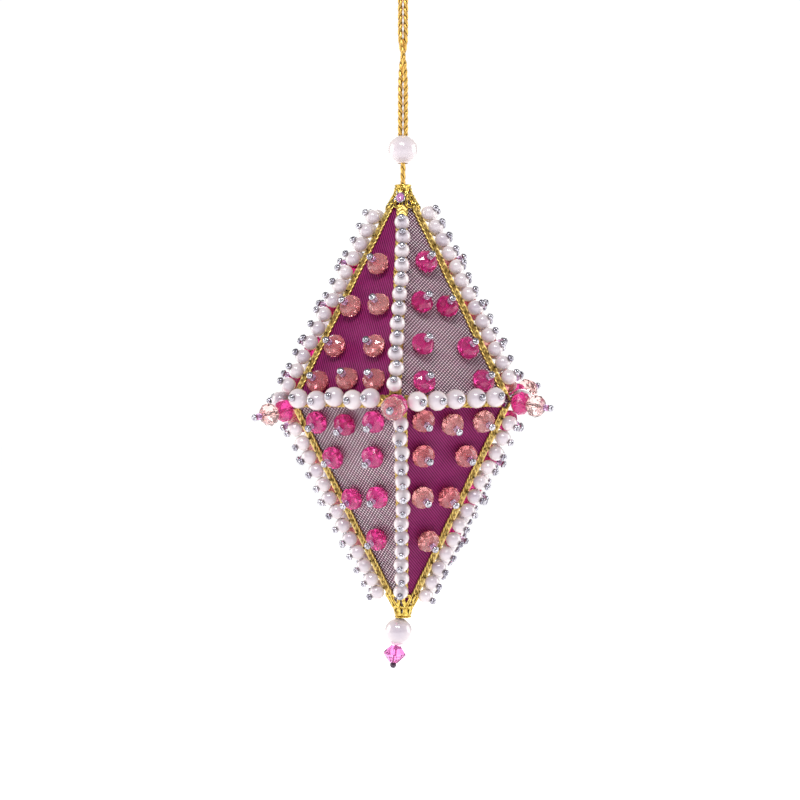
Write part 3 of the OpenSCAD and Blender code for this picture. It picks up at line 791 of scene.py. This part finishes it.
def lining_panel(name, i, half, node):
    """A smooth sheet between the outline's two slanted sides, dimpled at the pins."""
    up = np.linspace(EDGE_INSET, CUT, 60)[:, None]
    half_width = BASE_HALF + (TOP_HALF - BASE_HALF) * (up - EDGE_INSET) / (CUT - EDGE_INSET)
    across = np.linspace(-1, 1, 36)[None] * half_width
    spot = np.stack([across, up + 0 * across], axis=-1)
    z = LINING_TOP - dimple(spot, pin_feet(i, half), PIN_PULL, PULL_REACH)
    front = on_face(np.concatenate([spot, z[..., None]], axis=-1), i, half)
    back = on_face(np.concatenate([spot, 0 * z[..., None] + SHEET_BACK], axis=-1), i, half)
    piece = put_mesh(name, slab(front, back), lining_cloth)
    return stand_for(piece, "ornament", node, slot="lining")


# %% Net
net_thread, tree, shader = new_finish("dark_magenta_net", "#5c0f44", Roughness=0.45, Sheen_Weight=0.3)
cloudy_colour(tree, shader, 900.0, [(0.3, "#2c0420"), (0.7, "#5a0a40")])


def net_panel(name, i, half, turn, node):
    """Two sets of parallel threads, one square to the other. Each is a flat bar with four sides, cut to
    the outline, in eight lengths so that it dips with the lining at the pins."""
    pitch, width, thick, steps = 0.68 * MM, 0.25 * MM, 0.06 * MM, 9
    shapes = []
    for layer, angle in enumerate((turn, turn + math.pi / 2)):
        offsets = np.arange(-40 * MM, 40 * MM, pitch)
        start, run, low, high, _ = lines_across(angle, offsets)
        share = low[:, None] + (high - low)[:, None] * np.linspace(0, 1, steps)
        spot = start[:, None] + share[..., None] * run
        z = NET_TOP + thick * layer + thick / 2 - dimple(spot, pin_feet(i, half), PIN_PULL, PULL_REACH)
        middle = np.concatenate([spot, z[..., None]], axis=-1)
        square = np.array([-run[1], run[0], 0])
        section = np.array([[-1, -1], [1, -1], [1, 1], [-1, 1]])
        ring = middle[:, :, None] + section[:, :1] * width / 2 * square + section[:, 1:] * thick / 2 * [0, 0, 1]
        points = on_face(ring, i, half).reshape(-1, 3)
        one = grid_faces(steps, 4, columns_close=True)
        ends = np.array([[0, 1, 2, 3], [4 * steps - 1, 4 * steps - 2, 4 * steps - 3, 4 * steps - 4]])
        faces = np.concatenate([one, ends[:, ::-1]])
        if half < 0:
            faces = faces[:, ::-1]
        shift = (np.arange(len(spot)) * 4 * steps)[:, None, None]
        shapes.append((points, [(faces[None] + shift).reshape(-1, 4)]))
    piece = put_mesh(name, join(shapes), net_thread, smooth=False)
    return stand_for(piece, "ornament", node, slot="net")


for half, word in ((1, "upper"), (-1, "lower")):
    for n in (1, 2, 3):
        i = 2 * (n - 1) + (0 if half > 0 else 1)
        lining_panel(f"lining_{word}_{n}_sheet", i, half, "lining_" + word)
        net_panel(f"net_{word}_{n}_mesh", i, half, 0.72, f"net_{word}_{n}")

# %% [markdown]
# ## Gold braid
#
# A flat braid of metallic thread is folded over each edge. Its threads lie in chevrons that meet on the
# fold, and a twisted cord finishes each border. The flat part is a sheet whose height rises in ridges,
# and the borders are ropes carried along it.

# %% Braid
braid_gold = thread_gold("chevron_gold_braid", "#46350f", "#d6b868", 0.36)
EDGE_LEN = math.hypot(CORNER_R, HALF_H)
EDGE_IN, EDGE_UP = CORNER_R / EDGE_LEN, HALF_H / EDGE_LEN
SLANT_FOLD = math.acos(math.cos(LEAN) * math.cos(math.pi / 6) * EDGE_UP + math.sin(LEAN) * EDGE_IN)
SIDE_FOLD = LEAN
CLOTH_T = 0.5 * MM
BRAID_REACH = 1.2 * MM


def braid_run(start, along, side, out, length, fold):
    """One length of braid. Across it, w goes from border to border: a point lies w cos(fold) to the side
    and |w| sin(fold) in from the ridge, and the fold is rounded. Chevron ridges add
    |sin(pi (s + 1.2 |w|) / pitch)| to the power 0.7 in height, with s the run along the edge."""
    pitch, low, high = 1.5 * MM, 0.25 * MM, 0.5 * MM
    s = np.arange(0, length, pitch / 5)[:, None]
    w = np.linspace(-1, 1, 13)[None] * (BRAID_REACH - 0.25 * MM)
    ridge = np.abs(np.sin(np.pi * (s + np.abs(w) * 1.2) / pitch)) ** 0.7
    bend = np.sqrt(w ** 2 + (0.35 * MM) ** 2) - 0.1 * MM
    lift = CLOTH_T / math.cos(fold)

    def layer(height):
        sideways = np.sign(w) * math.sin(fold) * np.minimum(1, np.abs(w) / (0.4 * MM))
        normal = np.stack([sideways, 0 * w + math.cos(fold)], axis=-1)
        x = w * math.cos(fold) + height * normal[..., 0]
        z = lift + 0.05 * MM - bend * math.sin(fold) + height * normal[..., 1]
        return (start + s[..., None] * along + x[..., None] * side + z[..., None] * out)

    flat = slab(layer(low + high * ridge), layer(0 * ridge))
    # The crest numbers give the braid painted shade between the ridges and on its underside, and a painted
    # highlight on the ridges and rope lobes.
    tones = [np.concatenate([ridge.ravel(), 0 * ridge.ravel()])]
    shapes = [flat]
    for border in (-1, 1):
        x = border * (BRAID_REACH * math.cos(fold) + 0.05 * MM)
        z = lift + 0.4 * MM - BRAID_REACH * math.sin(fold)
        run = np.arange(0, length, 0.2 * MM)[:, None]
        sway = 0.12 * MM * np.sin(run / (1.7 * MM) + 3 * border) * np.sin(run / (4.3 * MM))
        path = start + run * along + (x + sway) * side + z * out
        shape, lobes = rope(path, 0.42 * MM, 2, border * 2.6 * MM, 10, depth=0.4, helper=out)
        shapes.append(shape)
        tones.append(lobes)
    return join(shapes), np.concatenate(tones)


def braid(name, runs, node):
    """Several lengths of braid as one piece."""
    made = [braid_run(*run) for run in runs]
    piece = put_mesh(name, join([shape for shape, _ in made]), braid_gold,
                     values={"crest": np.concatenate([tones for _, tones in made])})
    return stand_for(piece, "ornament", node, slot="gold_braid")


corners = []
for i in range(6):
    a = math.radians(-90 + 60 * i)
    corners.append((np.array([math.cos(a), math.sin(a), 0]), np.array([-math.sin(a), math.cos(a), 0])))
UP = np.array([0, 0, 1.0])
FIRST, LAST = 1.5 * MM, 56.6 * MM
# The front braids lie a little off their ridge at the corner, as their pearls do
FRONT_DRIFT, FRONT_LIFT = {1: -0.6 * MM, -1: 0.8 * MM}, 0.25 * MM
for half, word in ((1, "upper"), (-1, "lower")):
    runs = []
    for i, (out, side) in enumerate(corners):
        ridge = -EDGE_IN * out + half * EDGE_UP * UP
        top_of = EDGE_UP * out + half * EDGE_IN * UP
        drift = FRONT_DRIFT[half] * side + FRONT_LIFT * top_of if i == 0 else 0 * side
        corner = CORNER_R * out + BODY_Z * UP + drift
        along = unit(ridge * LAST - drift)
        runs.append((corner + FIRST * along, along, side, top_of, LAST - FIRST, SLANT_FOLD))
    braid(f"braid_{word}_chevron", runs, "braid_" + word)
RUN = CORNER_R - 3.4 * MM
runs = []
for i in range(6):
    a = math.radians(-60 + 60 * i)
    out, along = np.array([math.cos(a), math.sin(a), 0]), np.array([-math.sin(a), math.cos(a), 0])
    runs.append((FLAT_R * out + BODY_Z * UP - RUN / 2 * along, along, UP, out, RUN, SIDE_FOLD))
braid("braid_side_chevron", runs, "braid_side")

# %% [markdown]
# ## Filigree caps
#
# A bead cap is stamped from brass and gilded. Eight petals hang from a straight neck, and each has a
# raised rim round an opening. Here a loop is a closed path of (turn round the neck, run down the cap's
# curve). A rim is a round wire along a loop, and a plate is the sheet between two loops, so the openings
# are really open.

# %% Gilded brass
gilt, tree, shader = new_finish("gilded_filigree_brass", "#d9b650", Metallic=1.0, Roughness=0.22)
wear = cloudy_colour(tree, shader, 1400.0, [(0.3, "#8a6418"), (0.6, "#ecd070")], detail=3.0)
bump = add(tree, "ShaderNodeBump", inputs={"Strength": 0.4, "Distance": 0.05 * MM},
           links={"Height": wear.outputs["Fac"]})
tree.links.new(bump.outputs["Normal"], shader.inputs["Normal"])

# %% Wires on the cap's curve
CAP_CURVE = smooth_path(np.array([[2.0, 0, 55.2], [2.2, 0, 53.9], [2.65, 0, 52.5], [3.3, 0, 51.2], [4.2, 0, 49.7],
                                  [4.4, 0, 49.1]]) * MM, 0.1 * MM)
CAP_RUN = np.linspace(0, 1, len(CAP_CURVE))
PETALS, PLATE_T = 8, 0.2 * MM


def on_cap(turn, run, lift=0.0):
    """A place on the cap: the radius and height at a share of the way down the curve, turned round z."""
    r = np.interp(run, CAP_RUN, CAP_CURVE[:, 0]) + lift
    return np.stack([r * np.cos(turn), r * np.sin(turn), np.interp(run, CAP_RUN, CAP_CURVE[:, 2])], axis=-1)


def wire(path, radius, sides=6):
    """A round wire along a closed path: at each point a circle square to the path, its frame taken from
    the direction away from the neck's axis."""
    along = unit(np.roll(path, -1, axis=0) - np.roll(path, 1, axis=0))
    away = unit(path * [1, 1, 0])
    across = unit(np.cross(away, along))
    away = np.cross(along, across)
    a = np.linspace(0, 2 * np.pi, sides, endpoint=False)[None, :, None]
    ring = path[:, None] + radius * (np.cos(a) * across[:, None] + np.sin(a) * away[:, None])
    return ring.reshape(-1, 3), [grid_faces(len(path), sides, rows_close=True, columns_close=True)[:, ::-1]]


def petal(middle, top, low, half_turn, steps=28, lift=0.0):
    """A teardrop loop: the run goes top to low and back as a cosine, and the turn swings as a sine that
    is half as wide at the top as at the bottom."""
    t = np.linspace(0, 2 * np.pi, steps, endpoint=False)
    down = (1 - np.cos(t)) / 2
    return on_cap(middle + half_turn * np.sin(t) * (0.45 + 0.55 * down), top + (low - top) * down, lift)


def frame_loop(middle, top, low, half_turn, steps=28, lift=0.0):
    """The four-sided border of a share of the cap: a circle pushed out to a square, then stretched."""
    t = np.linspace(0, 2 * np.pi, steps, endpoint=False)
    square = np.stack([np.sin(t), -np.cos(t)]) / np.maximum(np.abs(np.sin(t)), np.abs(np.cos(t)))
    return on_cap(middle + half_turn * square[0], (top + low) / 2 + (low - top) / 2 * square[1], lift)


def plate(loop, outer, hole):
    """The sheet between a border loop and a hole, 0.2 mm thick. The four rows of points are the border
    and the hole on the outside, then the hole and the border on the inside."""
    rows = [loop(*outer), petal(*hole), petal(*hole, lift=-PLATE_T), loop(*outer, lift=-PLATE_T)]
    faces = grid_faces(4, len(rows[0]), rows_close=True, columns_close=True)
    a, b, c = (np.concatenate(rows)[faces[0, k]] for k in range(3))
    outwards = np.cross(b - a, c - a) @ (a * [1, 1, 0]) > 0
    return np.concatenate(rows), [faces if outwards else faces[:, ::-1]]


def filigree():
    """One cap, its mouth down, about the z axis at its own heights: rings round the neck, then for each
    petal its plate and rim, and half a petal round from it a plate of the neck with a pointed hole."""
    around = np.linspace(0, 2 * np.pi, 48, endpoint=False)
    made = [wire(on_cap(around, 0 * around + run), radius * MM) for run, radius in ((0.0, 0.22), (0.43, 0.17))]
    share = np.pi / PETALS
    for k in range(PETALS):
        middle = 2 * share * (k + 0.5) + 0.1
        between = middle + share
        made += [plate(petal, (middle, 0.38, 0.985, share * 0.98), (middle, 0.58, 0.9, share * 0.5)),
                 plate(frame_loop, (between, 0.0, 0.46, share), (between, 0.1, 0.36, share * 0.62)),
                 wire(petal(middle, 0.4, 0.985, share * 0.98, lift=0.1 * MM), 0.24 * MM),
                 wire(petal(middle, 0.58, 0.9, share * 0.5, 20), 0.13 * MM),
                 wire(petal(between, 0.1, 0.36, share * 0.62, 20), 0.12 * MM)]
    return join(made)


top_wires = filigree()
cap = put_mesh("top_cap_filigree", (top_wires[0] + [0, 0, BODY_Z], top_wires[1]), gilt)
stand_for(cap, "ornament", "top_cap", slot="filigree")
low_points = top_wires[0] * [1, -1, -1] + [0, 0, BODY_Z]
cap = put_mesh("bottom_cap_filigree", (low_points, top_wires[1]), gilt)
stand_for(cap, "ornament", "bottom_cap", slot="filigree")

# %% The stone on the upper cap
stone_glass = clear_glass("violet_pink_cut_stone", "#c070c0", "#eca8e0", 0.03, 0.5)
STONE_TURN, STONE_LEAN = math.radians(-99), math.radians(24)
STONE_R, STONE_H = 3.2, 51.7
out = np.array([math.cos(STONE_LEAN) * math.cos(STONE_TURN), math.cos(STONE_LEAN) * math.sin(STONE_TURN),
                math.sin(STONE_LEAN)])
seat = np.array([STONE_R * math.cos(STONE_TURN), STONE_R * math.sin(STONE_TURN), STONE_H]) * MM + [0, 0, BODY_Z]
OVAL = np.array([1.0, 1.3, 1.0])
seat_turn = frames_for([out], np.zeros(1))[0].T
facets, faces = faceted([[0.02 * MM, 0.35 * MM, 0], [0.85 * MM, 0.35 * MM, 0], [1.0 * MM, 0.5 * MM, 0.5],
                         [0.62 * MM, 0.9 * MM, 0], [0.02 * MM, 0.95 * MM, 0]], 8)
stone = put_mesh("cap_stone_cut", (seat + facets * OVAL @ seat_turn, faces), stone_glass, smooth=False,
                 values={"bead": np.full(len(facets), 0.7)})
stand_for(stone, "ornament", "cap_stone", slot="stone")
cup, faces = turned(np.array([[0.8, 0], [1.15, 0], [1.25, 0.35], [1.12, 0.6], [1.0, 0.55], [0.95, 0.3]]) * MM, 20)
cup = put_mesh("cap_stone_cup", (seat + cup * OVAL @ seat_turn, faces), pin_steel)
stand_for(cup, "ornament", slot="pin_steel")

# %% [markdown]
# ## The drop
#
# A pin comes out of the lower cap at a slant. It carries a large pearl, a cut crystal and a small dark
# seed. The crystal is a double cone ground with eight flats above and eight below, half a step apart.

# %% Pearl, crystal and seed below
DROP_PEARL_D, CRYSTAL_D, CRYSTAL_T = 7.1 * MM, 5.8 * MM, 4.4 * MM
DROP_SEED_D, DROP_SEED_T = 1.7 * MM, 1.1 * MM
crystal_glass = clear_glass("rose_cut_crystal", "#ff90dc", "#ffb0ea", 0.02, 0.88)
dark_seed, tree, shader = new_finish("dark_glass_seed", "#4a3a48", Metallic=0.6, Roughness=0.15)
seed_back = HEAD_T + GAP + DROP_SEED_T / 2
crystal_back = seed_back + DROP_SEED_T / 2 + GAP + CRYSTAL_T / 2
pearl_back = crystal_back + CRYSTAL_T / 2 + GAP + DROP_PEARL_D / 2
on_pins("drop_pearl_lacquered", pearl_profile(DROP_PEARL_D, BORE, 40), 56, "drop", pearl_back, pearl_lacquer,
        "drop_pearl", "drop_pearl", "pearl")
flat, half_t = 1.2 * MM, CRYSTAL_T / 2
crystal = faceted([[BORE, -half_t, 0], [flat, -half_t, 0], [CRYSTAL_D / 2, -0.12 * half_t, 0],
                   [CRYSTAL_D / 2, 0.12 * half_t, 0.5], [flat, half_t, 0.5], [BORE, half_t, 0.5]], 8)
on_pins("drop_crystal_cut", None, 0, "drop", crystal_back, crystal_glass, "drop_crystal", "drop_crystal", "crystal",
        facets=crystal, smooth=False)
on_pins("drop_seed_dark", seed_profile(DROP_SEED_D, DROP_SEED_T, SEED_BORE), 14, "drop", seed_back, dark_seed,
        "ornament", "drop_seed", "dark_seed")
